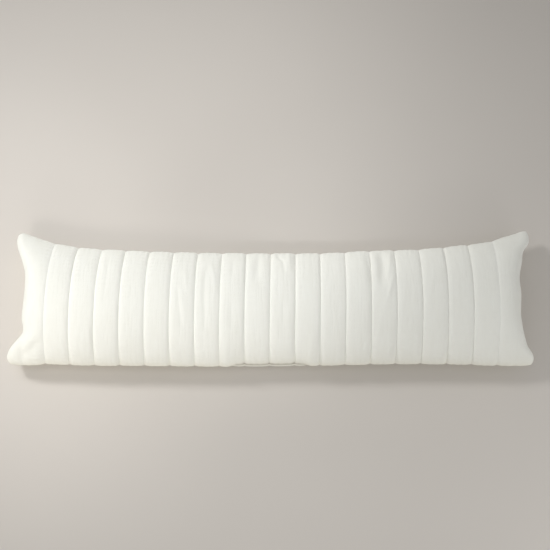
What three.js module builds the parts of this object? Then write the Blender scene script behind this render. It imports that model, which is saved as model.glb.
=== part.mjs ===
// A long rectangular throw pillow with a channel-quilted front, lying on its back.
//
// Two cloth panels, a quilted front and a plain back, meet in one knife-edge seam and are filled, so the
// pillow is one solid: a crowned front crossed by sewn lines, sides drawn in between four ears, and a
// back that is flat where it lies.
//
// Millimetres. +X runs along the pillow, +Y from its foot edge to its head edge, and +Z out of its
// front. The origin is on the floor, below the middle of the pillow's box.

import * as THREE from 'three';
import { ParametricGeometry } from 'three/addons/geometries/ParametricGeometry.js';
import { mergeGeometries, mergeVertices } from 'three/addons/utils/BufferGeometryUtils.js';

const { clamp, degToRad, lerp, smoothstep } = THREE.MathUtils;

// Quilting of the front panel
const SEWN_LINES = 19;
const LINE_PITCH = 57.8;
const PUFF = 4.4; // rise of a channel above its sewn lines
const PUFF_UNEVEN = 0.14; // share by which the puff differs from channel to channel
const PUFF_STEP = 2.4; // radians from one channel to the next in that unevenness
const GROOVE = 5.5; // distance from a sewn line in which the puff rises by 63%
const HEAD_NOTCH = 2.2; // depth of the notch that a sewn line pulls into the head edge
const FOOT_NOTCH = 2; // the same at the foot edge

// Filling
const SEAM_HEIGHT = 50; // the knife-edge seam above the floor
const CROWN = 70; // the sewn lines' highest point above the seam
const CROWN_ANGLE = degToRad(56); // half of the arc that a panel bends through
const END_REACH = 70; // distance from an end in which the crown grows to its full height
const END_FULLNESS = 3; // power of that growth: 2 makes a quarter of an ellipse, more is fuller
const FLAT_FROM = 0.83; // share of the back's free depth at which it lies flat
const EDGE_FADE = 8; // distance from the seam in which the puff rises by 63%

// Ears
const EAR_DROOP = 9; // how far the tips of the ears hang below the seam
const EAR_REACH = 70; // distance from a tip in which the hang dies out

// The middle of the foot edge, where the seam is drawn in and the back panel rolls out below it
const ROLL_HALF = 72; // half of that stretch's length
const ROLL_END = 30; // length in which it dies out at each end
const ROLL_DRAW_IN = 5; // how far the seam is drawn in there
const ROLL_OUT = 1.5; // how far the back panel then stands out past the seam
const ROLL_AT = 0.05; // share of the back panel's width at which it stands out most

// Mesh
const COLUMNS_IN_CHANNEL = 6;
const ROWS = 16;
const COLUMN_CROWDING = 0.75; // 0 spaces columns evenly, 1 crowds them at the sewn lines
const ROW_CROWDING = 0.5; // the same for rows, at the head and foot edges
const JOIN_WITHIN = 0.01; // points of the two panels closer than this are one point of the seam

// How far a sewn line's foot and head ends stand to +X of their even spacing, by the line's number
const LINE_ENDS = [
  { line: -9, foot: 1, head: 13 },
  { line: -8, foot: 0, head: 10 },
  { line: -7, foot: 0, head: 9 },
  { line: -6, foot: 0, head: 7 },
  { line: -4, foot: 0, head: 5 },
  { line: -1, foot: -1, head: 3 },
  { line: 3, foot: 0, head: 3 },
  { line: 5, foot: 1, head: 4 },
  { line: 7, foot: 3, head: 5 },
  { line: 9, foot: 4.5, head: 5 },
];

// The sewn edge, each table from one rounded ear to the next
const HEAD_EDGE = [
  { x: -600, y: 150 },
  { x: -590, y: 156 },
  { x: -570, y: 151 },
  { x: -545, y: 141.5 },
  { x: -515, y: 132 },
  { x: -450, y: 119.5 },
  { x: -355, y: 113 },
  { x: -210, y: 107.5 },
  { x: 0, y: 105 },
  { x: 120, y: 105.5 },
  { x: 255, y: 112 },
  { x: 355, y: 115 },
  { x: 450, y: 124.5 },
  { x: 515, y: 133 },
  { x: 545, y: 142.5 },
  { x: 580, y: 153.5 },
  { x: 598, y: 160.3 },
  { x: 606, y: 162 },
  { x: 611, y: 161 },
];
const FOOT_EDGE = [
  { x: -601.5, y: -157.5 },
  { x: -583, y: -160 },
  { x: -540, y: -161 },
  { x: -515, y: -159.5 },
  { x: -450, y: -162 },
  { x: -400, y: -163 },
  { x: -300, y: -163.5 },
  { x: -70, y: -165.5 },
  { x: 70, y: -164 },
  { x: 300, y: -159.5 },
  { x: 440, y: -160.5 },
  { x: 528, y: -163 },
  { x: 585, y: -162 },
  { x: 598, y: -161.2 },
  { x: 607.5, y: -159 },
];
const LEFT_EDGE = [
  { y: -157.5, x: -601.5 },
  { y: -153, x: -607 },
  { y: -146, x: -610.2 },
  { y: -139, x: -610.8 },
  { y: -121, x: -602.5 },
  { y: -102, x: -585 },
  { y: -88, x: -573 },
  { y: -55, x: -574.5 },
  { y: 0, x: -570.5 },
  { y: 50, x: -572 },
  { y: 79, x: -581 },
  { y: 118, x: -597 },
  { y: 137, x: -600.8 },
  { y: 150, x: -600 },
];
const RIGHT_EDGE = [
  { y: -159, x: 607.5 },
  { y: -155, x: 611.2 },
  { y: -149, x: 613.3 },
  { y: -143, x: 613.6 },
  { y: -137, x: 612.3 },
  { y: -128, x: 607 },
  { y: -119, x: 600 },
  { y: -106, x: 594.5 },
  { y: -50, x: 583 },
  { y: 0, x: 585 },
  { y: 40, x: 583.5 },
  { y: 79, x: 592 },
  { y: 105, x: 598 },
  { y: 127, x: 613 },
  { y: 140, x: 615.6 },
  { y: 150, x: 615.3 },
  { y: 157, x: 613.7 },
  { y: 161, x: 611 },
];

const CHANNELS = SEWN_LINES + 1;
const COLUMNS = CHANNELS * COLUMNS_IN_CHANNEL;
const END_NUMBER = CHANNELS / 2; // an end's number, with the sewn lines numbered from the middle one
const OUTER_LINE = END_NUMBER - 1;
const EARS = [LEFT_EDGE.at(0), LEFT_EDGE.at(-1), RIGHT_EDGE.at(0), RIGHT_EDGE.at(-1)];

/** A smooth function through a table's rows, from its column `from` to its column `to`. */
function smoothThrough(table, from, to) {
  const places = table.map((row) => row[from]);
  const values = table.map((row) => row[to]);
  const curve = new THREE.CubicInterpolant(places, values, 1);
  return (place) => curve.evaluate(clamp(place, places.at(0), places.at(-1)))[0];
}

const footShift = smoothThrough(LINE_ENDS, 'line', 'foot');
const headShift = smoothThrough(LINE_ENDS, 'line', 'head');
const headEdge = smoothThrough(HEAD_EDGE, 'x', 'y');
const footEdge = smoothThrough(FOOT_EDGE, 'x', 'y');
const leftEdge = smoothThrough(LEFT_EDGE, 'y', 'x');
const rightEdge = smoothThrough(RIGHT_EDGE, 'y', 'x');

/** A share from 0 to 1, moved so that even shares crowd towards both ends. */
function crowd(share, crowding) {
  return share - (crowding * Math.sin(2 * Math.PI * share)) / (2 * Math.PI);
}

/** Grows from 0 to 1 with the distance from a seam, as filled cloth rises from the stitches. */
function riseFromSeam(distance, reach) {
  return 1 - Math.exp(-distance / reach);
}

/** The angle through which the panel has turned at a share of its width. */
function turnAt(share) {
  return (2 * share - 1) * CROWN_ANGLE;
}

/** How far across the pillow that share lies, from the foot seam (0) to the head seam (1). */
function acrossAt(share) {
  return 0.5 + (0.5 * Math.sin(turnAt(share))) / Math.sin(CROWN_ANGLE);
}

/** Height of the panel's arch there, from 0 at the seams to 1 in the middle. */
function archAt(share) {
  return (Math.cos(turnAt(share)) - Math.cos(CROWN_ANGLE)) / (1 - Math.cos(CROWN_ANGLE));
}

/** X of a sewn line, or of a place between two of them, at a share of the way from foot to head. */
function lineX(line, across) {
  return line * LINE_PITCH + lerp(footShift(line), headShift(line), across);
}

/** Distance from the nearest sewn line. */
function lineDistance(line) {
  const inner = clamp(line, -OUTER_LINE, OUTER_LINE);
  return (Math.abs(inner - Math.round(inner)) + Math.abs(line - inner)) * LINE_PITCH;
}

/** Share, from 0 to 1, of the foot edge's roll at a place along it. */
function rollAt(x) {
  return smoothstep(ROLL_HALF + ROLL_END - Math.abs(x), 0, ROLL_END);
}

/** A point of the head edge, with the notch of the nearest sewn line. */
function headPoint(x, line) {
  const notch = HEAD_NOTCH * (1 - riseFromSeam(lineDistance(line), GROOVE));
  return new THREE.Vector2(x, headEdge(x) - notch);
}

/** A point of the foot edge, with the notch of the nearest sewn line and the drawn-in middle. */
function footPoint(x, line) {
  const notch = FOOT_NOTCH * (1 - riseFromSeam(lineDistance(line), GROOVE));
  return new THREE.Vector2(x, footEdge(x) + notch + ROLL_DRAW_IN * rollAt(x));
}

/** A place on a sewn line or between two of them, seen from above. */
function placeByLines(line, across) {
  return footPoint(lineX(line, 0), line).lerp(headPoint(lineX(line, 1), line), across);
}

/** A place in an end channel, seen from above: a patch between the end, its outer line, head and foot. */
function placeInEndChannel(side, fromEnd, across) {
  const [footEar, headEar] = side < 0 ? EARS.slice(0, 2) : EARS.slice(2);
  const outerLine = side * OUTER_LINE;
  const line = side * (END_NUMBER - fromEnd);

  const endY = lerp(footEar.y, headEar.y, across);
  const end = new THREE.Vector2(side < 0 ? leftEdge(endY) : rightEdge(endY), endY);
  const outer = placeByLines(outerLine, across);
  const foot = footPoint(lerp(footEar.x, lineX(outerLine, 0), fromEnd), line);
  const head = headPoint(lerp(headEar.x, lineX(outerLine, 1), fromEnd), line);

  const straightEnd = new THREE.Vector2().lerpVectors(footEar, headEar, across);
  const straightOuter = placeByLines(outerLine, 0).lerp(placeByLines(outerLine, 1), across);
  return end
    .lerp(outer, fromEnd)
    .add(foot.lerp(head, across))
    .sub(straightEnd.lerp(straightOuter, fromEnd));
}

/** Where a column and a share of the panel's width lie, seen from above, and how far from the ends. */
function placeOnPanel(column, share) {
  const channel = Math.floor(column / COLUMNS_IN_CHANNEL);
  const inChannel = (column % COLUMNS_IN_CHANNEL) / COLUMNS_IN_CHANNEL;
  const line = channel + crowd(inChannel, COLUMN_CROWDING) - END_NUMBER;
  const fromEnd = END_NUMBER - Math.abs(line);
  const across = acrossAt(share);
  if (fromEnd >= 1) {
    const inner = placeByLines(line, across);
    const endDistance = Math.min(inner.x - leftEdge(inner.y), rightEdge(inner.y) - inner.x);
    return { line, place: inner, endDistance };
  }
  const place = placeInEndChannel(Math.sign(line), fromEnd, across);
  const endX = line < 0 ? leftEdge(place.y) : rightEdge(place.y);
  return { line, place, endDistance: fromEnd > 0 ? Math.abs(place.x - endX) : 0 };
}

/** Height of the seam's level, which sinks towards the tips of the ears. */
function seamLevel(place) {
  const nearest = Math.min(...EARS.map((ear) => Math.hypot(place.x - ear.x, place.y - ear.y)));
  return SEAM_HEIGHT - EAR_DROOP * Math.exp(-((nearest / EAR_REACH) ** 2));
}

/** Share of the full crown that the filling reaches. */
function fullnessAt(share, endDistance) {
  const short = 1 - Math.min(1, endDistance / END_REACH);
  return archAt(share) * (1 - short ** END_FULLNESS) ** (1 / END_FULLNESS);
}

/** Rise of a channel above its sewn lines. */
function puffAt(line, share, place, endDistance) {
  const edgeDistance = Math.min(share, 1 - share) * (headEdge(place.x) - footEdge(place.x));
  const inChannel = 1 + PUFF_UNEVEN * Math.sin(PUFF_STEP * Math.floor(line));
  const fromSeams = riseFromSeam(edgeDistance, EDGE_FADE) * riseFromSeam(endDistance, EDGE_FADE);
  return PUFF * inChannel * riseFromSeam(lineDistance(line), GROOVE) * fromSeams;
}

/** A point of the quilted front panel. */
function frontPoint(length, width, target) {
  const share = crowd(width, ROW_CROWDING);
  const { line, place, endDistance } = placeOnPanel(Math.round(length * COLUMNS), share);
  const puff = puffAt(line, share, place, endDistance);
  const crown = seamLevel(place) + CROWN * fullnessAt(share, endDistance);
  target.set(place.x, place.y + puff * Math.sin(turnAt(share)), crown + puff * Math.cos(turnAt(share)));
}

/** A point of the plain back panel, flat where it lies on the floor. */
function backPoint(length, width, target) {
  const share = crowd(width, ROW_CROWDING);
  const { line, place, endDistance } = placeOnPanel(Math.round(length * COLUMNS), share);
  const sunk = Math.sin((Math.PI / 2) * Math.min(1, fullnessAt(share, endDistance) / FLAT_FROM));
  const rolled = rollAt(place.x) * (share / ROLL_AT) * Math.exp(1 - share / ROLL_AT);
  const rollY = placeByLines(line, 0).y - ROLL_OUT;
  target.set(place.x, lerp(place.y, rollY, rolled), seamLevel(place) * (1 - sunk));
}

/** The filled pillow as one closed surface: both panels, joined along the knife-edge seam. */
function pillowGeometry() {
  const front = new ParametricGeometry(frontPoint, COLUMNS, ROWS);
  const turnedBack = (length, width, target) => backPoint(1 - length, width, target);
  const back = new ParametricGeometry(turnedBack, COLUMNS, ROWS);
  const panels = [front, back].map((panel) => panel.deleteAttribute('normal').deleteAttribute('uv'));
  const pillow = mergeVertices(mergeGeometries(panels), JOIN_WITHIN);
  pillow.computeBoundingBox();
  const middle = pillow.boundingBox.getCenter(new THREE.Vector3());
  return pillow.translate(-middle.x, -middle.y, 0);
}

const offWhiteCloth = new THREE.MeshStandardMaterial({ color: 0xf0f0e8, roughness: 0.9, metalness: 0 });

const pillow = new THREE.Mesh(pillowGeometry(), offWhiteCloth);
pillow.name = 'pillow';

const throwPillow = new THREE.Group();
throwPillow.add(pillow);

export default throwPillow;
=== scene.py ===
"""A long throw pillow with a channel-quilted front: its cover, its sewing, and a plain studio around it."""
import logging
import math
from dataclasses import dataclass
from enum import Enum
from functools import partialmethod
from typing import Any

import bmesh
import bpy
import numpy as np
from mathutils import Matrix, Vector
from numpy.typing import NDArray


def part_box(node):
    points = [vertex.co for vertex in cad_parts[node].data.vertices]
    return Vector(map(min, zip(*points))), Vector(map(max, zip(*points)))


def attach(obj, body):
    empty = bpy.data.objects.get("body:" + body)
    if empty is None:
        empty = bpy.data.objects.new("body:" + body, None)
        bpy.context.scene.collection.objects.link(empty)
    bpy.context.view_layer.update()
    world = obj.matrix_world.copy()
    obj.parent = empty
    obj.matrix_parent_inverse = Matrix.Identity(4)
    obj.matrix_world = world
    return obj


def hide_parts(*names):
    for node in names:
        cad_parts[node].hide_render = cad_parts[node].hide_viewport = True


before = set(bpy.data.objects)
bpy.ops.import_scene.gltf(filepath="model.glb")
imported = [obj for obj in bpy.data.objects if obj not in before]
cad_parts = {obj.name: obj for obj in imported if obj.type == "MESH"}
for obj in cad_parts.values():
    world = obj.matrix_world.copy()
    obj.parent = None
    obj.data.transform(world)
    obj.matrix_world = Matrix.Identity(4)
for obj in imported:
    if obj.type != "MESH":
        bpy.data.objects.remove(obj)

Array = NDArray[np.float64]
Table = tuple[tuple[float, float], ...]
Colour = tuple[float, float, float]
Point = tuple[float, float, float]

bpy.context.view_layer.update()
PILLOW_NODE = "pillow"
BODY = "root"
WELD = 1e-6
TINY = 1e-9
MID_SHARE = 0.5
NOISE_MIDDLE = 0.5
MIX_LOW, MIX_HIGH, MIX_RESULT = 6, 7, 2

log = logging.getLogger("pillow")


class Panel(Enum):
    """The two cloth panels of the cover."""

    FRONT = "front"
    BACK = "back"


Owner = tuple[Panel, int, int]


class SmoothCurve:
    """A smooth function through a table of places and values, for whole arrays of places."""

    def __init__(self, places: Array, values: Array) -> None:
        """Works out the slopes at the table's rows.

        Args:
            places: rising places, one for each row.
            values: a value, or an array of values, for each place.
        """
        self.places = np.asarray(places, float)
        self.values = np.asarray(values, float)
        steps = np.diff(self.places).reshape(-1, *[1] * (self.values.ndim - 1))
        chords = np.diff(self.values, axis=0) / steps
        self.slopes = np.concatenate([chords[:1], (chords[1:] + chords[:-1]) / 2, chords[-1:]])

    @classmethod
    def through(cls, table: Table) -> "SmoothCurve":
        """A curve through rows of a place and a value."""
        return cls(*np.array(table).T)

    def __call__(self, place: Array) -> Array:
        """The curve's values at places, which are held inside the table.

        Args:
            place: an array of places.

        Returns:
            An array of values, with the places' shape first.
        """
        place = np.clip(place, self.places[0], self.places[-1])
        left = np.clip(np.searchsorted(self.places, place) - 1, 0, len(self.places) - 2)
        step = self.places[left + 1] - self.places[left]
        share = (place - self.places[left]) / step
        extra = [1] * (self.values.ndim - 1)
        share, step = (a.reshape(*a.shape, *extra) for a in (share, step))
        back = 1 - share
        return (
            self.values[left] * back**2 * (1 + 2 * share)
            + self.values[left + 1] * share**2 * (1 + 2 * back)
            + step * share * back * (self.slopes[left] * back - self.slopes[left + 1] * share)
        )


def mix(low: Array, high: Array, share: Array) -> Array:
    """A place between two, at a share of the way."""
    return low + (high - low) * share


def crowd(share: Array, crowding: float) -> Array:
    """Moves even shares from 0 to 1 so that they crowd towards both ends."""
    return share - crowding * np.sin(2 * np.pi * share) / (2 * np.pi)


def rise(distance: Array, reach: float) -> Array:
    """Grows from 0 to 1 with the distance from a seam, as filled cloth rises from the stitches."""
    return 1 - np.exp(-distance / reach)


def bell(distance: Array, width: float) -> Array:
    """Falls from 1 to 0 with the distance from a line or a point."""
    return np.exp(-((distance / width) ** 2))


def soft_step(value: Array) -> Array:
    """Eases from 0 to 1 as the value goes from 0 to 1."""
    value = np.clip(value, 0, 1)
    return value * value * (3 - 2 * value)


def turn_over(bm: bmesh.types.BMesh, verts: list[bmesh.types.BMVert]) -> None:
    """Turns the faces around some points of a mesh to look the other way."""
    bmesh.ops.reverse_faces(bm, faces=list({face for vert in verts for face in vert.link_faces}))


def mesh_from(bm: bmesh.types.BMesh, name: str) -> bpy.types.Mesh:
    """Makes a mesh of what was built, and lets the builder go.

    Args:
        bm: what was built.
        name: the mesh's name.

    Returns:
        The mesh.
    """
    mesh = bpy.data.meshes.new(name)
    bm.to_mesh(mesh)
    bm.free()
    return mesh


def add_object(name: str, data: bpy.types.ID) -> bpy.types.Object:
    """Puts a mesh, lamp or camera into the scene.

    Args:
        name: the object's name.
        data: what it shows.

    Returns:
        The object.
    """
    made = bpy.data.objects.new(name, data)
    bpy.context.collection.objects.link(made)
    return made


def add_piece(mesh: bpy.types.Mesh, material: bpy.types.Material) -> bpy.types.Object:
    """Shades a mesh smoothly, dresses it and puts it into the scene under its own name.

    Args:
        mesh: the mesh.
        material: what it is dressed in.

    Returns:
        The object.
    """
    mesh.polygons.foreach_set("use_smooth", np.ones(len(mesh.polygons), bool))
    mesh.materials.append(material)
    return add_object(mesh.name, mesh)


@dataclass
class Form:
    """The filled pillow's shape: where each place of the two panels lies in space.

    A place on a panel is a line number, counted in channels from the middle sewn line, and a share of the
    panel's width, from the foot seam (0) to the head seam (1).
    """

    sewn_lines: int = 19
    line_pitch: float = 0.0578
    puff: float = 0.0034
    puff_uneven: float = 0.14
    puff_step: float = 2.4
    groove: float = 0.0055
    outer_groove: float = 0.4
    stitch_cut: float = 0.0011
    stitch_cut_reach: float = 0.0020
    head_notch: float = 0.0022
    foot_notch: float = 0.0020
    seam_height: float = 0.050
    crown: float = 0.070
    crown_angle: float = math.radians(56)
    end_reach: float = 0.070
    end_fullness: float = 3.0
    flat_from: float = 0.83
    edge_fade: float = 0.008
    ear_droop: float = 0.009
    ear_reach: float = 0.070
    roll_half: float = 0.072
    roll_end: float = 0.030
    roll_draw_in: float = 0.005
    roll_out: float = 0.0015
    roll_at: float = 0.05
    seam_sink: float = 0.0016
    seam_sink_reach: float = 0.0014
    box_steps: int = 400
    line_ends: tuple[Point, ...] = (
        (-9, 0.001, 0.013), (-8, 0, 0.01), (-7, 0, 0.009), (-6, 0, 0.007), (-4, 0, 0.005),
        (-1, -0.001, 0.003), (3, 0, 0.003), (5, 0.001, 0.004), (7, 0.003, 0.005), (9, 0.0045, 0.005),
    )
    head_edge: Table = (
        (-0.6, 0.15), (-0.59, 0.156), (-0.57, 0.151), (-0.545, 0.1415), (-0.515, 0.132), (-0.45, 0.1195),
        (-0.355, 0.113), (-0.21, 0.1075), (0, 0.105), (0.12, 0.1055), (0.255, 0.112), (0.355, 0.115),
        (0.45, 0.1245), (0.515, 0.133), (0.545, 0.1425), (0.58, 0.1535), (0.598, 0.1603), (0.606, 0.162),
        (0.611, 0.161),
    )
    foot_edge: Table = (
        (-0.6015, -0.1575), (-0.583, -0.16), (-0.54, -0.161), (-0.515, -0.1595), (-0.45, -0.162),
        (-0.4, -0.163), (-0.3, -0.1635), (-0.07, -0.1655), (0.07, -0.164), (0.3, -0.1595),
        (0.44, -0.1605), (0.528, -0.163), (0.585, -0.162), (0.598, -0.1612), (0.6075, -0.159),
    )
    left_edge: Table = (
        (-0.1575, -0.6015), (-0.153, -0.607), (-0.146, -0.6102), (-0.139, -0.6108), (-0.121, -0.6025),
        (-0.102, -0.585), (-0.088, -0.573), (-0.055, -0.5745), (0, -0.5705), (0.05, -0.572),
        (0.079, -0.581), (0.118, -0.597), (0.137, -0.6008), (0.15, -0.6),
    )
    right_edge: Table = (
        (-0.159, 0.6075), (-0.155, 0.6112), (-0.149, 0.6133), (-0.143, 0.6136), (-0.137, 0.6123),
        (-0.128, 0.607), (-0.119, 0.6), (-0.106, 0.5945), (-0.05, 0.583), (0, 0.585), (0.04, 0.5835),
        (0.079, 0.592), (0.105, 0.598), (0.127, 0.613), (0.14, 0.6156), (0.15, 0.6153), (0.157, 0.6137),
        (0.161, 0.611),
    )

    def __post_init__(self) -> None:
        """Makes the curves of the sewn edge, and finds the form's place in the frame."""
        edges = (self.head_edge, self.foot_edge, self.left_edge, self.right_edge)
        self.head, self.foot, self.left, self.right = map(SmoothCurve.through, edges)
        lines, *ends = np.array(self.line_ends).T
        self.line_shift = SmoothCurve(lines, np.stack(ends, -1))
        self.channels = self.sewn_lines + 1
        self.end_number = self.channels / 2
        self.outer_line = self.end_number - 1
        lefts, rights = np.array(self.left_edge), np.array(self.right_edge)
        self.ears = np.array([lefts[0], lefts[-1], rights[0], rights[-1]])[:, ::-1]
        self.shift = np.zeros(3)
        self.shift[:2] = self._offset_from_frame()

    def _offset_from_frame(self) -> Array:
        """How far, seen from above, the form as drawn is from the solid's place in the frame.

        Returns:
            The step in x and y from the drawn form to the solid.
        """
        steps = np.linspace(0, 1, self.box_steps)
        line, share = np.meshgrid(mix(-self.end_number, self.end_number, steps), steps)
        drawn = np.concatenate([self.points(panel, line, share).reshape(-1, 3) for panel in Panel])
        low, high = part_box(PILLOW_NODE)
        return ((np.array(low) + np.array(high)) / 2 - (drawn.min(0) + drawn.max(0)) / 2)[:2]

    def turn(self, share: Array) -> Array:
        """The angle through which a panel has turned at a share of its width."""
        return (2 * share - 1) * self.crown_angle

    def across(self, share: Array) -> Array:
        """How far across the pillow a share of a panel's width lies, from foot (0) to head (1)."""
        return 0.5 + 0.5 * np.sin(self.turn(share)) / math.sin(self.crown_angle)

    def arch(self, share: Array) -> Array:
        """Height of a panel's arch, from 0 at the seams to 1 in the middle."""
        low = math.cos(self.crown_angle)
        return (np.cos(self.turn(share)) - low) / (1 - low)

    def line_x(self, line: Array, across: Array) -> Array:
        """X of a sewn line, or between two of them, at a share of the way from foot to head."""
        foot, head = np.moveaxis(self.line_shift(line), -1, 0)
        return line * self.line_pitch + mix(foot, head, across)

    def line_distance(self, line: Array) -> Array:
        """Distance from the nearest sewn line."""
        inner = np.clip(line, -self.outer_line, self.outer_line)
        return (np.abs(inner - np.round(inner)) + np.abs(line - inner)) * self.line_pitch

    def roll(self, x: Array) -> Array:
        """Share, from 0 to 1, of the roll in the middle of the foot edge."""
        return soft_step((self.roll_half + self.roll_end - np.abs(x)) / self.roll_end)

    def head_point(self, x: Array, line: Array) -> Array:
        """Points of the head edge, with the sewn lines' notches."""
        notch = self.head_notch * (1 - rise(self.line_distance(line), self.groove))
        return np.stack([x, self.head(x) - notch], -1)

    def foot_point(self, x: Array, line: Array) -> Array:
        """Points of the foot edge, with the sewn lines' notches and the drawn-in middle."""
        notch = self.foot_notch * (1 - rise(self.line_distance(line), self.groove))
        return np.stack([x, self.foot(x) + notch + self.roll_draw_in * self.roll(x)], -1)

    def by_lines(self, line: Array, across: Array) -> Array:
        """Places on sewn lines or between two of them, seen from above."""
        foot = self.foot_point(self.line_x(line, 0), line)
        head = self.head_point(self.line_x(line, 1), line)
        return mix(foot, head, across[..., None])

    def in_end_channel(self, side: int, from_end: Array, across: Array) -> Array:
        """Places in an end channel, seen from above: a patch between the end, its line, head and foot.

        Args:
            side: -1 for the left end, 1 for the right one.
            from_end: shares of the way from the end to the outer sewn line.
            across: shares of the way from foot to head.

        Returns:
            The places' x and y.
        """
        foot_ear, head_ear = self.ears[:2] if side < 0 else self.ears[2:]
        outer = np.full_like(across, side * self.outer_line)
        line = side * (self.end_number - from_end)
        end_y = mix(foot_ear[1], head_ear[1], across)
        end = np.stack([(self.left if side < 0 else self.right)(end_y), end_y], -1)
        foot = self.foot_point(mix(foot_ear[0], self.line_x(outer, 0), from_end), line)
        head = self.head_point(mix(head_ear[0], self.line_x(outer, 1), from_end), line)
        share, way = from_end[..., None], across[..., None]
        straight_outer = mix(self.by_lines(outer, across * 0), self.by_lines(outer, across * 0 + 1), way)
        straight = mix(mix(foot_ear, head_ear, way), straight_outer, share)
        return mix(end, self.by_lines(outer, across), share) + mix(foot, head, way) - straight

    def place(self, line: Array, share: Array) -> tuple[Array, Array]:
        """Where places of a panel lie, seen from above, and how far they are from the nearer end.

        Args:
            line: line numbers.
            share: shares of the panel's width.

        Returns:
            The places' x and y, and their distances from the end.
        """
        across = self.across(share)
        from_end = self.end_number - np.abs(line)
        spot = self.by_lines(np.clip(line, -self.outer_line, self.outer_line), across)
        for side in (-1, 1):
            here = (from_end < 1) & (line * side > 0)
            spot[here] = self.in_end_channel(side, from_end[here], across[here])
        x, y = spot[..., 0], spot[..., 1]
        distance = np.minimum(x - self.left(y), self.right(y) - x)
        return spot, np.where(from_end > TINY, np.maximum(distance, 0), 0)

    def seam_level(self, spot: Array) -> Array:
        """Height of the seam's level, which sinks towards the tips of the ears."""
        nearest = np.linalg.norm(spot[..., None, :] - self.ears, axis=-1).min(-1)
        return self.seam_height - self.ear_droop * bell(nearest, self.ear_reach)

    def fullness(self, share: Array, end_distance: Array) -> Array:
        """Share of the full crown that the filling reaches."""
        short = 1 - np.minimum(1, end_distance / self.end_reach)
        return self.arch(share) * (1 - short**self.end_fullness) ** (1 / self.end_fullness)

    def width(self, line: Array) -> Array:
        """Length of cloth from the foot seam to the head seam."""
        x = line * self.line_pitch
        return (self.head(x) - self.foot(x)) * self.crown_angle / math.sin(self.crown_angle)

    def on_cloth(self, line: Array, share: Array) -> Array:
        """Places measured on the panel itself, in metres along the pillow and up from the foot seam."""
        return np.stack([line * self.line_pitch, share * self.width(line)], -1)

    def edge_distance(self, line: Array, share: Array) -> Array:
        """Distance along the cloth from the nearer of the head and foot seams."""
        return np.minimum(share, 1 - share) * self.width(line)

    def puff_at(self, line: Array, share: Array, end_distance: Array) -> Array:
        """Rise of a channel above its sewn lines."""
        uneven = 1 + self.puff_uneven * np.sin(self.puff_step * np.floor(line))
        seams = rise(self.edge_distance(line, share), self.edge_fade) * rise(end_distance, self.edge_fade)
        held = mix(1, self.outer_groove, np.clip(np.abs(line) - self.outer_line + 1, 0, 1))
        gap = self.line_distance(line)
        groove = self.puff * uneven * (1 - held * np.exp(-gap / self.groove))
        return (groove - self.stitch_cut * held * np.exp(-gap / self.stitch_cut_reach)) * seams

    def outward(self, share: Array) -> Array:
        """Directions out of the front panel, by the turn of its crown."""
        turn = self.turn(share)
        return np.stack([turn * 0, np.sin(turn), np.cos(turn)], -1)

    def points(self, panel: Panel, line: Array, share: Array) -> Array:
        """Points in space of places on a panel.

        Args:
            panel: which panel the places are on.
            line: line numbers.
            share: shares of the panel's width.

        Returns:
            An array of points.
        """
        spot, end_distance = self.place(line, share)
        x, y = spot[..., 0], spot[..., 1]
        level, full = self.seam_level(spot), self.fullness(share, end_distance)
        edge_sink = self.seam_sink * bell(self.edge_distance(line, share), self.seam_sink_reach)
        end_sink = self.seam_sink * bell(end_distance, self.seam_sink_reach)
        if panel is Panel.FRONT:
            z = level + self.crown * full
        else:
            z = level * (1 - np.sin(np.pi / 2 * np.minimum(1, full / self.flat_from)))
            bulge = self.roll(x) * share / self.roll_at * np.exp(1 - share / self.roll_at)
            y = mix(y, self.by_lines(line, share * 0)[..., 1] - self.roll_out, bulge)
        y = y - edge_sink * np.sign(share - MID_SHARE)
        x = x - end_sink * np.sign(line)
        points = np.stack([x, y, z], -1) + self.shift
        if panel is Panel.FRONT:
            points += self.puff_at(line, share, end_distance)[..., None] * self.outward(share)
        return points


@dataclass(frozen=True)
class Crease:
    """A soft trough in the front panel, or a ridge where its depth is negative.

    Its route goes over the cloth through a few places, each a line number and a share of the panel's width.
    """

    route: Table
    width: float
    depth: float
    pieces: int = 12
    fade: float = 0.6
    margin: float = 3.0
    tip: float = 0.06

    def height(self, form: Form, on_cloth: Array) -> Array:
        """How far the crease lifts places of the cloth: negative in a trough.

        Args:
            form: the pillow's form.
            on_cloth: places measured on the panel, in metres.

        Returns:
            The height at each place.
        """
        stops = form.on_cloth(*np.array(self.route).T)
        way = np.linspace(0, 1, self.pieces + 1)
        route = SmoothCurve(np.linspace(0, 1, len(stops)), stops)(way)
        margin = self.margin * self.width
        near = ((on_cloth > route.min(0) - margin) & (on_cloth < route.max(0) + margin)).all(-1)
        spots = on_cloth[near]
        best = np.full(len(spots), np.inf)
        along = np.zeros(len(spots))
        for number, (start, end) in enumerate(zip(route[:-1], route[1:])):
            step = end - start
            share = np.clip((spots - start) @ step / (step @ step), 0, 1)
            gap = np.linalg.norm(spots - start - share[:, None] * step, axis=-1)
            closer = gap < best
            best[closer] = gap[closer]
            along[closer] = (number + share[closer]) / self.pieces
        height = np.zeros(on_cloth.shape[:-1])
        faded = np.sin(np.pi * mix(self.tip, 1 - self.tip, along)) ** self.fade
        height[near] = -self.depth * bell(best, self.width) * faded
        return height


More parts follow.
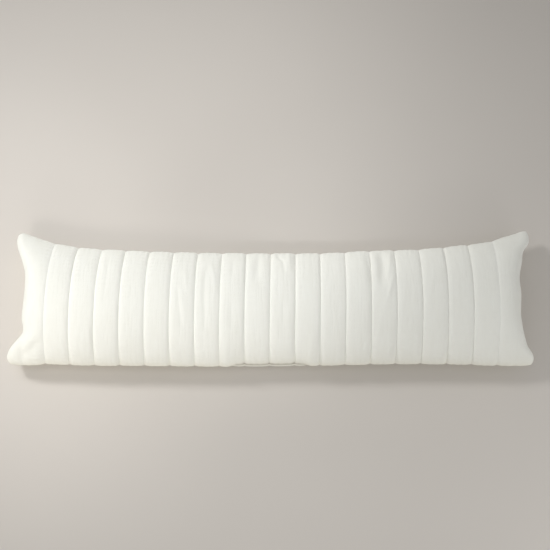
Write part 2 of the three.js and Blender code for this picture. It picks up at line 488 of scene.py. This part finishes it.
FRONT_CREASES = (
    Crease(((-6.60, 0.86), (-6.58, 0.73), (-6.56, 0.60)), 0.0042, 0.0009),
    Crease(((-3.68, 0.60), (-3.60, 0.46), (-3.49, 0.35)), 0.0060, 0.0014),
    Crease(((-3.50, 0.57), (-3.42, 0.46), (-3.34, 0.38)), 0.0060, -0.0009),
    Crease(((-3.48, 0.76), (-3.38, 0.68), (-3.29, 0.59)), 0.0055, -0.0010),
    Crease(((-2.56, 0.80), (-2.62, 0.62), (-2.59, 0.48), (-2.55, 0.33)), 0.0065, 0.0021),
    Crease(((-2.32, 0.79), (-2.24, 0.69), (-2.18, 0.60)), 0.0050, -0.0011),
    Crease(((-1.55, 0.88), (-1.53, 0.80), (-1.50, 0.70)), 0.0070, 0.0010),
    Crease(((-1.55, 0.52), (-1.53, 0.43), (-1.50, 0.33)), 0.0085, 0.0015),
    Crease(((-0.50, 0.91), (-0.52, 0.79), (-0.55, 0.67)), 0.0090, 0.0031),
    Crease(((0.27, 0.97), (0.33, 0.90), (0.47, 0.86), (0.56, 0.75)), 0.0042, 0.0020),
    Crease(((0.76, 0.99), (0.74, 0.90), (0.71, 0.78)), 0.0090, -0.0022),
    Crease(((0.54, 0.50), (0.52, 0.40), (0.48, 0.28)), 0.0060, 0.0009),
    Crease(((3.83, 0.96), (3.93, 0.78), (4.00, 0.60)), 0.0075, 0.0022),
    Crease(((3.37, 0.62), (3.37, 0.48)), 0.0060, 0.0005),
    Crease(((4.43, 0.96), (4.48, 0.80), (4.42, 0.62)), 0.0105, 0.0060),
    Crease(((4.82, 0.92), (4.75, 0.81), (4.66, 0.70)), 0.0050, -0.0012),
    Crease(((4.86, 0.69), (4.72, 0.59), (4.56, 0.49)), 0.0045, -0.0015),
    Crease(((4.62, 0.53), (4.42, 0.39), (4.22, 0.20)), 0.0085, -0.0007),
    Crease(((4.16, 0.29), (4.03, 0.18)), 0.0032, 0.0007),
    Crease(((4.62, 0.11), (4.86, 0.19)), 0.0045, -0.0007),
    Crease(((3.66, 0.16), (3.80, 0.25)), 0.0032, 0.0006),
    Crease(((5.60, 0.64), (5.42, 0.34)), 0.0070, 0.0006),
    Crease(((-9.50, 0.945), (-9.25, 0.960), (-9.04, 0.975)), 0.0030, 0.0014),
    Crease(((-9.62, 0.99), (-9.58, 0.95)), 0.0026, 0.0014),
    Crease(((-9.44, 0.99), (-9.42, 0.95)), 0.0026, 0.0014),
    Crease(((-9.30, 0.99), (-9.28, 0.95)), 0.0024, 0.0012),
    Crease(((-9.17, 0.99), (-9.15, 0.96)), 0.0024, 0.0012),
    Crease(((-9.81, 0.755), (-9.81, 0.740)), 0.0032, 0.0012),
    Crease(((-9.84, 0.710), (-9.84, 0.700)), 0.0028, 0.0010),
    Crease(((-9.73, 0.558), (-9.73, 0.546)), 0.0032, 0.0010),
    Crease(((9.06, 0.935), (9.30, 0.925), (9.60, 0.915)), 0.0065, 0.0014),
    Crease(((9.59, 0.945), (9.60, 0.920)), 0.0035, 0.0013),
    Crease(((9.62, 0.17), (9.72, 0.09)), 0.0042, 0.0011),
    Crease(((-9.89, 0.238), (-9.70, 0.200), (-9.60, 0.120), (-9.54, 0.045)), 0.0065, 0.0030),
    Crease(((-9.52, 0.09), (-9.34, 0.15), (-9.18, 0.21)), 0.0095, 0.0026),
)


@dataclass(frozen=True)
class Puckers:
    """The small gathers that a row of stitches draws into the cloth on both sides of it."""

    height: float = 0.00030
    reach: float = 0.0060
    spacing: float = 0.0125
    drift: float = 0.9
    drift_length: float = 0.047
    line_step: float = 1.9
    side_step: float = 0.35
    edge_height: float = 0.00040
    edge_reach: float = 0.0080
    edge_spacing: float = 0.0160

    def _waves(self, along: Array, row: Array, spacing: float) -> Array:
        """Uneven waves along a row of stitches, from -1 to 1."""
        wander = self.drift * np.sin(2 * np.pi * along / self.drift_length + self.line_step * row)
        return np.sin(2 * np.pi * along / spacing + 2 * self.line_step * row + wander)

    def heights(self, form: Form, line: Array, share: Array) -> Array:
        """How far the gathers lift places of the front panel.

        Args:
            form: the pillow's form.
            line: line numbers.
            share: shares of the panel's width.

        Returns:
            The height at each place.
        """
        spots = form.on_cloth(line, share)
        gap = form.line_distance(line)
        side = np.sign(line - np.round(line))
        by_lines = self._waves(spots[..., 1], np.round(line) + self.side_step * side, self.spacing)
        by_lines *= gap / self.reach * np.exp(1 - gap / self.reach)
        edge_gap = form.edge_distance(line, share)
        by_edge = self._waves(spots[..., 0], np.sign(share - MID_SHARE), self.edge_spacing)
        by_edge *= edge_gap / self.edge_reach * np.exp(1 - edge_gap / self.edge_reach)
        return self.height * by_lines + self.edge_height * by_edge


@dataclass(frozen=True)
class PanelGrid:
    """How finely a panel is divided: columns in each channel, and rows from foot to head."""

    columns_in_channel: int
    rows: int
    column_crowding: float
    row_crowding: float

    def places(self, form: Form) -> tuple[Array, Array]:
        """Line numbers of the columns, and shares of the width of the rows.

        Args:
            form: the pillow's form.

        Returns:
            The two rising lists of numbers.
        """
        column = np.arange(form.channels * self.columns_in_channel + 1)
        channel, within = np.divmod(column, self.columns_in_channel)
        lines = channel + crowd(within / self.columns_in_channel, self.column_crowding) - form.end_number
        return lines, crowd(np.linspace(0, 1, self.rows + 1), self.row_crowding)

    def spread(self, form: Form) -> tuple[Array, Array]:
        """Line number and share of the width of each of the grid's points, by column and row."""
        return tuple(np.meshgrid(*self.places(form), indexing="ij"))

    def lay(
        self, bm: bmesh.types.BMesh, form: Form, coarser: int = 1
    ) -> tuple[list[bmesh.types.BMVert], Array]:
        """Adds the panel to a mesh, flat, with points along its edges that fit those of the finest grid.

        Args:
            bm: the mesh.
            form: the pillow's form.
            coarser: how many columns and rows make one of this panel's, away from its edges.

        Returns:
            The new points, and the column and row of each.
        """
        columns = form.channels * self.columns_in_channel
        for vert in bm.verts:
            vert.tag = True
        segments = {"x_segments": columns // coarser, "y_segments": self.rows // coarser}
        made = bmesh.ops.create_grid(bm, size=1.0, **segments)
        if coarser > 1:
            edges = {edge for vert in made["verts"] for edge in vert.link_edges if edge.is_boundary}
            bmesh.ops.subdivide_edges(bm, edges=list(edges), cuts=coarser - 1, use_single_edge=True)
        verts = [vert for vert in bm.verts if not vert.tag]
        flat = np.array([vert.co[:2] for vert in verts])
        return verts, np.round((flat + 1) / 2 * (columns, self.rows)).astype(int)


@dataclass
class SettledCover:
    """How the cover settles as it is filled: a coarse copy of it is run as cloth, held by its sewing."""

    form: Form
    grid: PanelGrid = PanelGrid(columns_in_channel=8, rows=48, column_crowding=0.3, row_crowding=0.4)
    frames: int = 20
    steps_in_frame: int = 6
    slack: float = 0.011
    waves_in_channel: float = 2.3
    waves_step: float = 2.1
    back_tightness: float = 0.8
    mean_tightness: float = 0.5
    tightness_swing: float = 0.25
    second_wave: float = math.sqrt(3)
    second_step: float = math.sqrt(2)
    pressure: float = 2.0
    weight: float = 0.2
    stretch_stiffness: float = 12.0
    shear_stiffness: float = 4.0
    bend_stiffness: float = 40.0
    smoothing: int = 4
    cap: float = 0.003
    floor_gap: float = 0.001

    def moves(self) -> dict[Panel, Array]:
        """Runs the cloth.

        Returns:
            For each panel, how far each point of the grid moves, by column and row.
        """
        places = self.grid.spread(self.form)
        points = {panel: self.form.points(panel, *places) for panel in Panel}
        moves = {panel: np.zeros_like(points[panel]) for panel in Panel}
        held = {panel: self._held(panel, points[panel]) for panel in Panel}
        cover, owners = self._coarse_cover(points)
        before = np.array([vert.co for vert in cover.data.vertices])
        self._dress(cover, owners, held)
        for (panel, column, row), move in zip(owners, self._run(cover) - before):
            moves[panel][column, row] = move
        bpy.data.objects.remove(cover)
        return {panel: self._calm(moves[panel], held[panel]) for panel in Panel}

    def fine(self, moves: Array, lines: Array, shares: Array) -> Array:
        """Spreads the moves of a panel smoothly over a finer grid.

        Args:
            moves: the moves by column and row.
            lines: line numbers of the finer grid's columns.
            shares: shares of the width of its rows.

        Returns:
            The moves by column and row of the finer grid.
        """
        coarse_lines, coarse_shares = self.grid.places(self.form)
        by_column = SmoothCurve(coarse_lines, moves)(lines)
        return SmoothCurve(coarse_shares, by_column.swapaxes(0, 1))(shares).swapaxes(0, 1)

    def _held(self, panel: Panel, points: Array) -> NDArray[np.bool_]:
        """Which points of a panel its sewing or the floor holds.

        Args:
            panel: which panel.
            points: its points by column and row.

        Returns:
            True for each held point, by column and row.
        """
        held = np.zeros(points.shape[:2], bool)
        held[[0, -1]] = True
        held[:, [0, -1]] = True
        if panel is Panel.FRONT:
            held[:: self.grid.columns_in_channel] = True
        else:
            held |= points[..., 2] < self.floor_gap
        return held

    def _tightness(self, panel: Panel, line: float, share: float) -> float:
        """How tight the cloth is at a place, from 0 to 1: uneven along each channel, as filling is."""
        if panel is Panel.BACK:
            return self.back_tightness
        wave = 2 * math.pi * self.waves_in_channel * share
        step = self.waves_step * math.floor(line)
        second = math.sin(self.second_wave * wave - self.second_step * step)
        first = math.sin(wave + step)
        return self.mean_tightness + self.tightness_swing * first + self.tightness_swing * second

    def _coarse_cover(self, points: dict[Panel, Array]) -> tuple[bpy.types.Object, list[Owner]]:
        """Makes the coarse cover.

        Args:
            points: each panel's points by column and row.

        Returns:
            The cover, and each point's panel, column and row.
        """
        bm = bmesh.new()
        owner = {}
        for panel in Panel:
            verts, places = self.grid.lay(bm, self.form)
            for vert, (column, row) in zip(verts, places):
                vert.co = points[panel][column, row]
                owner[vert] = (panel, column, row)
            if panel is Panel.BACK:
                turn_over(bm, verts)
        bmesh.ops.remove_doubles(bm, verts=bm.verts, dist=WELD)
        bm.verts.index_update()
        owners = [owner[vert] for vert in bm.verts]
        return add_object("settling_cover", mesh_from(bm, "settling_cover")), owners

    def _dress(self, cover: bpy.types.Object, owners: list[Owner], held: dict[Panel, Array]) -> None:
        """Makes the cover cloth, with its slack, and holds it along its sewing and where it lies.

        Args:
            cover: the coarse cover.
            owners: each of its points' panel, column and row.
            held: which points are held, for each panel.
        """
        lines, shares = self.grid.places(self.form)
        pins = cover.vertex_groups.new(name="held")
        tight = cover.vertex_groups.new(name="tight")
        for number, (panel, column, row) in enumerate(owners):
            pins.add([number], float(held[panel][column, row]), "REPLACE")
            tight.add([number], self._tightness(panel, lines[column], shares[row]), "REPLACE")
        cloth = cover.modifiers.new("settle", "CLOTH")
        settings = cloth.settings
        settings.quality = self.steps_in_frame
        settings.mass = self.weight
        settings.tension_stiffness = self.stretch_stiffness
        settings.compression_stiffness = self.stretch_stiffness
        settings.shear_stiffness = self.shear_stiffness
        settings.bending_stiffness = self.bend_stiffness
        settings.use_pressure = True
        settings.uniform_pressure_force = self.pressure
        settings.vertex_group_mass = pins.name
        settings.vertex_group_shrink = tight.name
        settings.shrink_min = -self.slack
        settings.shrink_max = 0
        settings.effector_weights.gravity = 0
        cloth.collision_settings.use_collision = False
        cloth.point_cache.frame_end = self.frames

    def _run(self, cover: bpy.types.Object) -> Array:
        """Runs the frames one after another.

        Args:
            cover: the coarse cover.

        Returns:
            Where its points end up.
        """
        scene = bpy.context.scene
        for number in range(1, self.frames + 1):
            scene.frame_set(number)
        settled = cover.evaluated_get(bpy.context.evaluated_depsgraph_get())
        points = np.array([vert.co for vert in settled.data.vertices])
        scene.frame_set(1)
        return points

    def _calm(self, moves: Array, held: Array) -> Array:
        """Takes the moves' finest ripples out, and keeps them small.

        Args:
            moves: the moves of a panel by column and row.
            held: which of its points are held.

        Returns:
            The calmed moves.
        """
        for _ in range(self.smoothing):
            for axis in (0, 1):
                moves = (np.roll(moves, 1, axis) + 2 * moves + np.roll(moves, -1, axis)) / 4
            moves[held] = 0
        length = np.linalg.norm(moves, axis=-1, keepdims=True)
        return moves * self.cap * np.tanh(length / self.cap) / np.maximum(length, TINY)


@dataclass
class QuiltedCover:
    """The pillow's cover: a quilted front and a plain back, joined along the knife edge and filled."""

    form: Form
    finish: "CoverCloth"
    creases: tuple[Crease, ...] = FRONT_CREASES
    puckers: Puckers = Puckers()
    grid: PanelGrid = PanelGrid(columns_in_channel=40, rows=108, column_crowding=0.4, row_crowding=0.4)
    back_coarser: int = 4
    fill: float = 0.7

    def build(self) -> bpy.types.Object:
        """Makes the cover, dresses it and puts it in the frame.

        Returns:
            The cover's object.
        """
        lines, shares = self.grid.places(self.form)
        self.line, self.share = self.grid.spread(self.form)
        settled = SettledCover(self.form)
        moves = settled.moves()
        points = {}
        for panel in Panel:
            points[panel] = self._points(panel) + settled.fine(moves[panel], lines, shares)
            points[panel][..., 2] = np.maximum(points[panel][..., 2], 0)
        rim = np.ones(self.line.shape, bool)
        rim[1:-1, 1:-1] = False
        points[Panel.BACK][rim] = points[Panel.FRONT][rim]
        bm = bmesh.new()
        for panel in Panel:
            self._add_panel(bm, panel, points[panel])
        bmesh.ops.remove_doubles(bm, verts=bm.verts, dist=WELD)
        self._finish_seam(bm)
        cover = add_piece(mesh_from(bm, "pillow_cover"), self.finish.material())
        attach(cover, BODY)
        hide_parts(PILLOW_NODE)
        return cover

    def _finish_seam(self, bm: bmesh.types.BMesh) -> None:
        """Keeps the knife edge crisp, and lets the panels' corner faces share only the rim.

        Args:
            bm: the mesh of both panels.
        """
        seam = bm.verts.layers.float["seam"]
        for edge in bm.edges:
            edge.smooth = max(vert[seam] for vert in edge.verts) > WELD
        for tip in [vert for vert in bm.verts if len(vert.link_faces) == len(Panel)]:
            face = max(tip.link_faces, key=lambda face: len(face.verts))
            bmesh.utils.face_split(face, tip, max(face.verts, key=lambda vert: vert[seam]))

    def _points(self, panel: Panel) -> Array:
        """Points of a panel before it settles, with its creases and gathers.

        Args:
            panel: which panel.

        Returns:
            The points by column and row.
        """
        points = self.form.points(panel, self.line, self.share)
        if panel is Panel.FRONT:
            on_cloth = self.form.on_cloth(self.line, self.share)
            relief = self.puckers.heights(self.form, self.line, self.share)
            relief += sum(crease.height(self.form, on_cloth) for crease in self.creases)
            points += relief[..., None] * self.form.outward(self.share)
        return points

    def _add_panel(self, bm: bmesh.types.BMesh, panel: Panel, points: Array) -> None:
        """Adds one panel.

        Args:
            bm: the mesh that the panel is added to.
            panel: which panel it is.
            points: its points by column and row.
        """
        form, line, share = self.form, self.line, self.share
        kept = {
            "line": line,
            "along": form.on_cloth(line, share)[..., 1],
            "front": np.full(line.shape, float(panel is Panel.FRONT)),
            "seam": np.minimum(form.edge_distance(line, share), form.place(line, share)[1]),
            "open": form.roll(points[..., 0] - form.shift[0]) * (share < MID_SHARE),
        }
        layers = bm.verts.layers.float
        layer = {name: layers.get(name) or layers.new(name) for name in kept}
        verts, places = self.grid.lay(bm, form, 1 if panel is Panel.FRONT else self.back_coarser)
        for vert, (column, row) in zip(verts, places):
            vert.co = points[column, row]
            for name, values in kept.items():
                vert[layer[name]] = values[column, row]
        if panel is Panel.BACK:
            turn_over(bm, verts)


@dataclass
class QuiltingStitches:
    """The stitches along the sewn lines of the front panel."""

    form: Form
    finish: "SewingThread"
    pitch: float = 0.0042
    length: float = 0.0034
    thickness: float = 0.0006
    lift: float = 0.0002
    end_gap: float = 0.006
    sides: int = 6
    rings: int = 4

    def build(self) -> bpy.types.Object:
        """Makes all the stitches as one piece and puts it in the frame.

        Returns:
            The stitches' object.
        """
        stitch, faces = self._one_stitch()
        lines = np.arange(self.form.sewn_lines) - self.form.outer_line
        places = np.concatenate([self._sew(line) for line in lines])
        points = np.einsum("sij,pj->spi", places[:, :3, :3], stitch) + places[:, None, :3, 3]
        firsts = range(0, len(places) * len(stitch), len(stitch))
        corners = [[corner + first for corner in face] for first in firsts for face in faces]
        mesh = bpy.data.meshes.new("quilting_stitches")
        mesh.from_pydata(points.reshape(-1, 3), [], corners)
        stitches = add_piece(mesh, self.finish.material())
        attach(stitches, BODY)
        return stitches

    def _one_stitch(self) -> tuple[Array, list[list[int]]]:
        """One stitch along Z, a rounded spindle of thread.

        Returns:
            Its points and its faces.
        """
        bm = bmesh.new()
        size = Matrix.Diagonal((self.thickness / 2, self.thickness / 2, self.length / 2, 1.0))
        bmesh.ops.create_uvsphere(bm, u_segments=self.sides, v_segments=self.rings, radius=1.0, matrix=size)
        points = np.array([vert.co for vert in bm.verts])
        faces = []
        for face in bm.faces:
            corners = [vert.index for vert in face.verts]
            first = corners.index(min(corners))
            faces.append(corners[first:] + corners[:first])
        bm.free()
        return points, sorted(faces)

    def _sew(self, line: float) -> Array:
        """Places of the stitches of one line.

        Args:
            line: the line's number.

        Returns:
            A matrix for each stitch.
        """
        width = self.form.width(np.array([line]))[0]
        middles = np.arange(self.end_gap, width - self.end_gap, self.pitch) + self.pitch / 2
        ends = [(middles + side * self.length / 2) / width for side in (-1, 1)]
        starts, stops = (self.form.points(Panel.FRONT, np.full_like(share, line), share) for share in ends)
        centres = (starts + stops) / 2 + self.lift * self.form.outward(middles / width)
        turns = [Vector(step).to_track_quat("Z", "Y").to_matrix().to_4x4() for step in stops - starts]
        return np.array([Matrix.Translation(centre) @ turn for centre, turn in zip(centres, turns)])


class Socket:
    """A shader node's output, with arithmetic that adds Math nodes."""

    def __init__(self, tree: "ShaderTree", output: bpy.types.NodeSocket) -> None:
        """Wraps an output of a tree."""
        self.tree = tree
        self.output = output

    def math(self, operation: str, *values: "Socket | float") -> "Socket":
        """This through one Math node."""
        return self.tree.node("ShaderNodeMath", {"operation": operation}, dict(enumerate((self, *values))))

    __add__ = partialmethod(math, "ADD")
    __sub__ = partialmethod(math, "SUBTRACT")
    __mul__ = partialmethod(math, "MULTIPLY")
    __truediv__ = partialmethod(math, "DIVIDE")


@dataclass(frozen=True)
class Grain:
    """A soft noise: how fine it is, how many finer layers it has, and how it is drawn out along its axes."""

    scale: float
    detail: float = 2.0
    stretch: Point = (1.0, 1.0, 1.0)


class ShaderTree:
    """A material's nodes."""

    def __init__(self, name: str) -> None:
        """Makes an empty material.

        Args:
            name: the material's name.
        """
        self.material = bpy.data.materials.new(name)
        self.material.use_nodes = True
        self.nodes = self.material.node_tree.nodes
        self.links = self.material.node_tree.links
        self.nodes.clear()

    def node(
        self, kind: str, settings: dict[str, Any], sockets: dict[Any, Any], output: Any = 0
    ) -> "Socket | None":
        """Adds a node.

        Args:
            kind: the node's type.
            settings: its properties, which are set first.
            sockets: values or links for its inputs, by name or number.
            output: the output that is wanted, by name or number.

        Returns:
            That output, or None for a node that has none.
        """
        made = self.nodes.new(kind)
        for name, value in settings.items():
            setattr(made, name, value)
        for name, value in sockets.items():
            if isinstance(value, Socket):
                self.links.new(value.output, made.inputs[name])
            else:
                made.inputs[name].default_value = value
        return Socket(self, made.outputs[output]) if len(made.outputs) else None

    def finish(self, **sockets: Any) -> bpy.types.Material:
        """Ends the tree in one Principled shader.

        Args:
            sockets: values or links for the shader's inputs, with _ for each space in a name.

        Returns:
            The material.
        """
        inputs = {name.replace("_", " "): value for name, value in sockets.items()}
        shader = self.node("ShaderNodeBsdfPrincipled", {}, inputs)
        self.node("ShaderNodeOutputMaterial", {}, {"Surface": shader})
        return self.material

    def place(self) -> Socket:
        """Object coordinates, in metres."""
        return self.node("ShaderNodeTexCoord", {}, {}, "Object")

    def value(self, name: str) -> Socket:
        """A number kept with the mesh's points."""
        return self.node("ShaderNodeAttribute", {"attribute_name": name}, {}, "Fac")

    def noise(self, place: Socket, grain: Grain) -> Socket:
        """Soft noise, from 0 to 1, about as many times to a metre as its scale says.

        Args:
            place: the coordinates that it follows.
            grain: what it is like.

        Returns:
            The noise.
        """
        mapping = {"Vector": place, "Scale": grain.stretch}
        drawn = self.node("ShaderNodeMapping", {"vector_type": "POINT"}, mapping)
        sockets = {"Vector": drawn, "Scale": grain.scale, "Detail": grain.detail}
        return self.node("ShaderNodeTexNoise", {}, sockets, "Fac")

    def blend(self, low: "Socket | Colour", high: "Socket | Colour", share: Socket) -> Socket:
        """A colour between two.

        Args:
            low: the colour at a share of 0.
            high: the colour at a share of 1.
            share: where between them it is.

        Returns:
            The colour.
        """
        ends = [colour if isinstance(colour, Socket) else (*colour, 1.0) for colour in (low, high)]
        settings = {"data_type": "RGBA", "clamp_factor": True}
        sockets = {"Factor": share, MIX_LOW: ends[0], MIX_HIGH: ends[1]}
        return self.node("ShaderNodeMix", settings, sockets, MIX_RESULT)

    def bump(self, height: Socket, distance: float, under: "Socket | None" = None) -> Socket:
        """A bumped normal.

        Args:
            height: the bump's height, from 0 to 1.
            distance: how high 1 is, in metres.
            under: a normal that it is laid over.

        Returns:
            The normal.
        """
        sockets = {"Height": height, "Distance": distance}
        if under is not None:
            sockets["Normal"] = under
        return self.node("ShaderNodeBump", {}, sockets, "Normal")


@dataclass(frozen=True)
class CoverCloth:
    """Off-white cloth with a short, soft pile."""

    name: str = "off_white_pile_cloth"
    colour: Colour = (0.870, 0.872, 0.812)
    shade: Colour = (0.835, 0.832, 0.760)
    # painted highlight: a lighter colour laid beside each sewn line, standing in for the light on the
    # grooves' flanks
    painted_line_highlight: Colour = (0.895, 0.897, 0.845)
    roughness: float = 0.88
    roughness_change: float = 0.10
    sheen: float = 0.25
    sheen_roughness: float = 0.40
    specular: float = 0.20
    pile: Grain = Grain(1500.0, 3.0)
    pile_height: float = 0.00025
    nap: Grain = Grain(420.0, 2.0, (1.0, 0.09, 1.0))
    nap_height: float = 0.00022
    nap_share: float = 0.7
    mottle: Grain = Grain(38.0, 3.0, (1.0, 0.45, 1.0))
    mottle_share: float = 0.9
    mean_shade: float = 0.25
    line_reach: float = 0.0028
    gather: Grain = Grain(150.0, 1.0, (0.35, 1.0, 1.0))
    gather_height: float = 0.0002
    drape: Grain = Grain(130.0, 1.0, (1.0, 0.13, 1.0))
    drape_height: float = 0.0011
    # painted shade: a warmer, darker colour towards the foot seam, standing in for shade and warm light
    # bounced from the floor
    painted_foot_shade: Colour = (0.74, 0.70, 0.56)
    foot_shade_reach: float = 0.016
    foot_shade_share: float = 0.55
    # painted shadow: a dark line along every seam, deeper and wider where the foot seam opens over the roll
    painted_seam_shadow: Colour = (0.14, 0.105, 0.065)
    seam_reach: float = 0.0010
    open_reach: float = 0.0034
    seam_shadow_depth: float = 0.35
    open_seam_shadow_depth: float = 1.0

    def material(self) -> bpy.types.Material:
        """Makes the material.

        Returns:
            The material.
        """
        tree = ShaderTree(self.name)
        place = tree.place()
        line, along, front = (tree.value(name) for name in ("line", "along", "front"))
        seam, opened = tree.value("seam"), tree.value("open")
        cloth = tree.node("ShaderNodeCombineXYZ", {}, {"X": line * Form.line_pitch, "Y": along})
        gap = (line - line.math("ROUND")).math("ABSOLUTE") * Form.line_pitch
        near_line = (gap * (-1 / self.line_reach)).math("EXPONENT") * front
        pile, mottle = tree.noise(place, self.pile), tree.noise(place, self.mottle)
        nap, drape, gather = (tree.noise(cloth, grain) for grain in (self.nap, self.drape, self.gather))
        clouds = (mottle - NOISE_MIDDLE) * self.mottle_share
        streaks = (nap - NOISE_MIDDLE) * self.nap_share
        colour = tree.blend(self.colour, self.shade, clouds + streaks + self.mean_shade)
        # painted highlight: the front panel is lightened close to each sewn line
        colour = tree.blend(colour, self.painted_line_highlight, near_line)
        # painted shade: the cloth turns warmer and darker towards the foot seam
        foot_shade_mask = (along * (-1 / self.foot_shade_reach)).math("EXPONENT") * self.foot_shade_share
        colour = tree.blend(colour, self.painted_foot_shade, foot_shade_mask)
        # painted shadow: the seams' crevices are darkened, most where the foot seam opens
        depth = opened * (self.open_seam_shadow_depth - self.seam_shadow_depth) + self.seam_shadow_depth
        reach = opened * (self.open_reach - self.seam_reach) + self.seam_reach
        seam_shadow_share = (seam * -1 / reach).math("EXPONENT") * depth
        normal = tree.bump(pile, self.pile_height)
        normal = tree.bump(nap, self.nap_height, normal)
        normal = tree.bump(gather * near_line, self.gather_height, normal)
        normal = tree.bump(drape, self.drape_height, normal)
        return tree.finish(
            Base_Color=tree.blend(colour, self.painted_seam_shadow, seam_shadow_share),
            Roughness=(pile - NOISE_MIDDLE) * self.roughness_change + self.roughness,
            Sheen_Weight=self.sheen,
            Sheen_Roughness=self.sheen_roughness,
            Specular_IOR_Level=self.specular,
            Normal=normal,
        )


@dataclass(frozen=True)
class SewingThread:
    """Off-white sewing thread, a little smoother than the cloth."""

    name: str = "off_white_thread"
    colour: Colour = (0.87, 0.87, 0.81)
    shade: Colour = (0.80, 0.795, 0.73)
    roughness: float = 0.65
    sheen: float = 0.15
    twist_scale: float = 2600.0
    twist_height: float = 0.00008
    twist_turn: float = math.radians(35)
    twist_uneven: float = 0.6

    def material(self) -> bpy.types.Material:
        """Makes the material.

        Returns:
            The material.
        """
        tree = ShaderTree(self.name)
        mapping = {"Vector": tree.place(), "Rotation": (0.0, 0.0, self.twist_turn)}
        turned = tree.node("ShaderNodeMapping", {}, mapping)
        sockets = {"Vector": turned, "Scale": self.twist_scale, "Distortion": self.twist_uneven}
        twist = tree.node("ShaderNodeTexWave", {}, sockets, "Fac")
        return tree.finish(
            # painted shade: the thread is darker in the grooves of its twist, where the bump is low
            Base_Color=tree.blend(self.shade, self.colour, twist),
            Roughness=self.roughness,
            Sheen_Weight=self.sheen,
            Normal=tree.bump(twist, self.twist_height),
        )


@dataclass(frozen=True)
class PaleFloor:
    """A plain pale floor, with the faintest cloudiness."""

    name: str = "pale_floor"
    colour: Colour = (0.66, 0.622, 0.575)
    shade: Colour = (0.63, 0.593, 0.547)
    roughness: float = 0.75
    specular: float = 0.25
    cloud: Grain = Grain(2.5)

    def material(self) -> bpy.types.Material:
        """Makes the material.

        Returns:
            The material.
        """
        tree = ShaderTree(self.name)
        colour = tree.blend(self.shade, self.colour, tree.noise(tree.place(), self.cloud))
        return tree.finish(Base_Color=colour, Roughness=self.roughness, Specular_IOR_Level=self.specular)


class LampKind(Enum):
    """The kinds of studio lamp."""

    SPOT = "SPOT"
    PANEL = "AREA"


@dataclass(frozen=True)
class Lamp:
    """A studio lamp: a spot with a soft edge and a cone in degrees, or a glowing panel."""

    name: str
    place: Point
    aim: Point
    power: float
    size: float
    cone: float = 45.0
    colour: Colour = (1.0, 1.0, 1.0)
    kind: LampKind = LampKind.SPOT
    softness: float = 1.0

    def build(self) -> None:
        """Hangs the lamp."""
        light = bpy.data.lights.new(self.name, self.kind.value)
        light.energy = self.power
        light.color = self.colour
        if self.kind is LampKind.SPOT:
            light.shadow_soft_size = self.size
            light.spot_size = math.radians(self.cone)
            light.spot_blend = self.softness
        else:
            light.size = self.size
        lamp = add_object(self.name, light)
        lamp.location = self.place
        lamp.rotation_euler = (Vector(self.aim) - Vector(self.place)).to_track_quat("-Z", "Y").to_euler()
        lamp.visible_camera = False


WARM: Colour = (1.0, 0.955, 0.895)
LAMPS = (
    Lamp("key", (-2.2, 1.4, 2.2), (-0.3, 0.1, 0.05), 182.0, 0.35, 45.0),
    Lamp("over_left_end", (-0.55, 0.0, 2.4), (-0.55, 0.0, 0.05), 23.1, 0.35, 55.0),
    Lamp("head_middle", (0.1, 2.0, 0.65), (0.05, 0.08, 0.1), 35.0, 0.35, 34.0),
    Lamp("foot_left", (-0.6, -2.0, 0.5), (-0.35, -0.05, 0.05), 94.0, 0.9, 45.0, WARM),
    Lamp("left_foot", (-1.2, -1.2, 1.2), (-0.58, -0.12, 0.05), 55.0, 0.35, 24.0, WARM),
    Lamp("right_foot", (1.1, -0.9, 0.4), (0.5, -0.1, 0.05), 2.1, 0.6, kind=LampKind.PANEL),
    Lamp("right_side", (1.5, 0.0, 0.5), (0.5, 0.0, 0.05), 0.7, 0.8, kind=LampKind.PANEL),
    Lamp("left_head", (-1.0, 1.1, 1.3), (-0.59, 0.13, 0.05), 76.0, 0.35, 12.0),
    Lamp("across_middle", (-0.98, -1.04, 1.52), (-0.02, -0.005, 0.11), 59.5, 0.2, 10.0),
)


@dataclass
class Studio:
    """The floor, the light and the camera."""

    floor_size: float = 14.0
    floor_gap: float = 0.0005
    lamps: tuple[Lamp, ...] = LAMPS
    room_colour: Colour = (1.0, 1.0, 1.0)
    room_strength: float = 0.442
    camera_tilt: float = math.radians(12)
    camera_distance: float = 2.6
    camera_aim: Point = (0.0099, 0.0545, 0.050)
    lens: float = 72.3

    def build(self) -> None:
        """Makes the whole studio."""
        self._lay_floor()
        self._light_room()
        for lamp in self.lamps:
            lamp.build()
        self._set_camera()

    def _lay_floor(self) -> None:
        """Lays the floor just below the pillow."""
        bm = bmesh.new()
        level = Matrix.Translation((0.0, 0.0, -self.floor_gap))
        bmesh.ops.create_grid(bm, x_segments=1, y_segments=1, size=self.floor_size / 2, matrix=level)
        add_piece(mesh_from(bm, "floor"), PaleFloor().material())

    def _light_room(self) -> None:
        """Fills the room with even light."""
        world = bpy.data.worlds.new("soft_room")
        world.use_nodes = True
        background = world.node_tree.nodes["Background"]
        background.inputs["Color"].default_value = (*self.room_colour, 1.0)
        background.inputs["Strength"].default_value = self.room_strength
        bpy.context.scene.world = world

    def _set_camera(self) -> None:
        """Sets the camera over the pillow, a little towards its foot."""
        lens = bpy.data.cameras.new("camera")
        lens.lens = self.lens
        camera = add_object("camera", lens)
        back = Vector((0.0, -math.sin(self.camera_tilt), math.cos(self.camera_tilt)))
        camera.location = Vector(self.camera_aim) + back * self.camera_distance
        camera.rotation_euler = (self.camera_tilt, 0.0, 0.0)
        bpy.context.scene.camera = camera
        bpy.context.scene.view_settings.view_transform = "Standard"


def main() -> None:
    """Builds the pillow and its studio."""
    logging.basicConfig(level=logging.INFO, format="%(name)s: %(message)s")
    form = Form()
    for part in (QuiltedCover(form, CoverCloth()), QuiltingStitches(form, SewingThread())):
        piece = part.build()
        log.info("%s: %d faces", piece.name, len(piece.data.polygons))
    Studio().build()


if __name__ == "__main__":
    main()
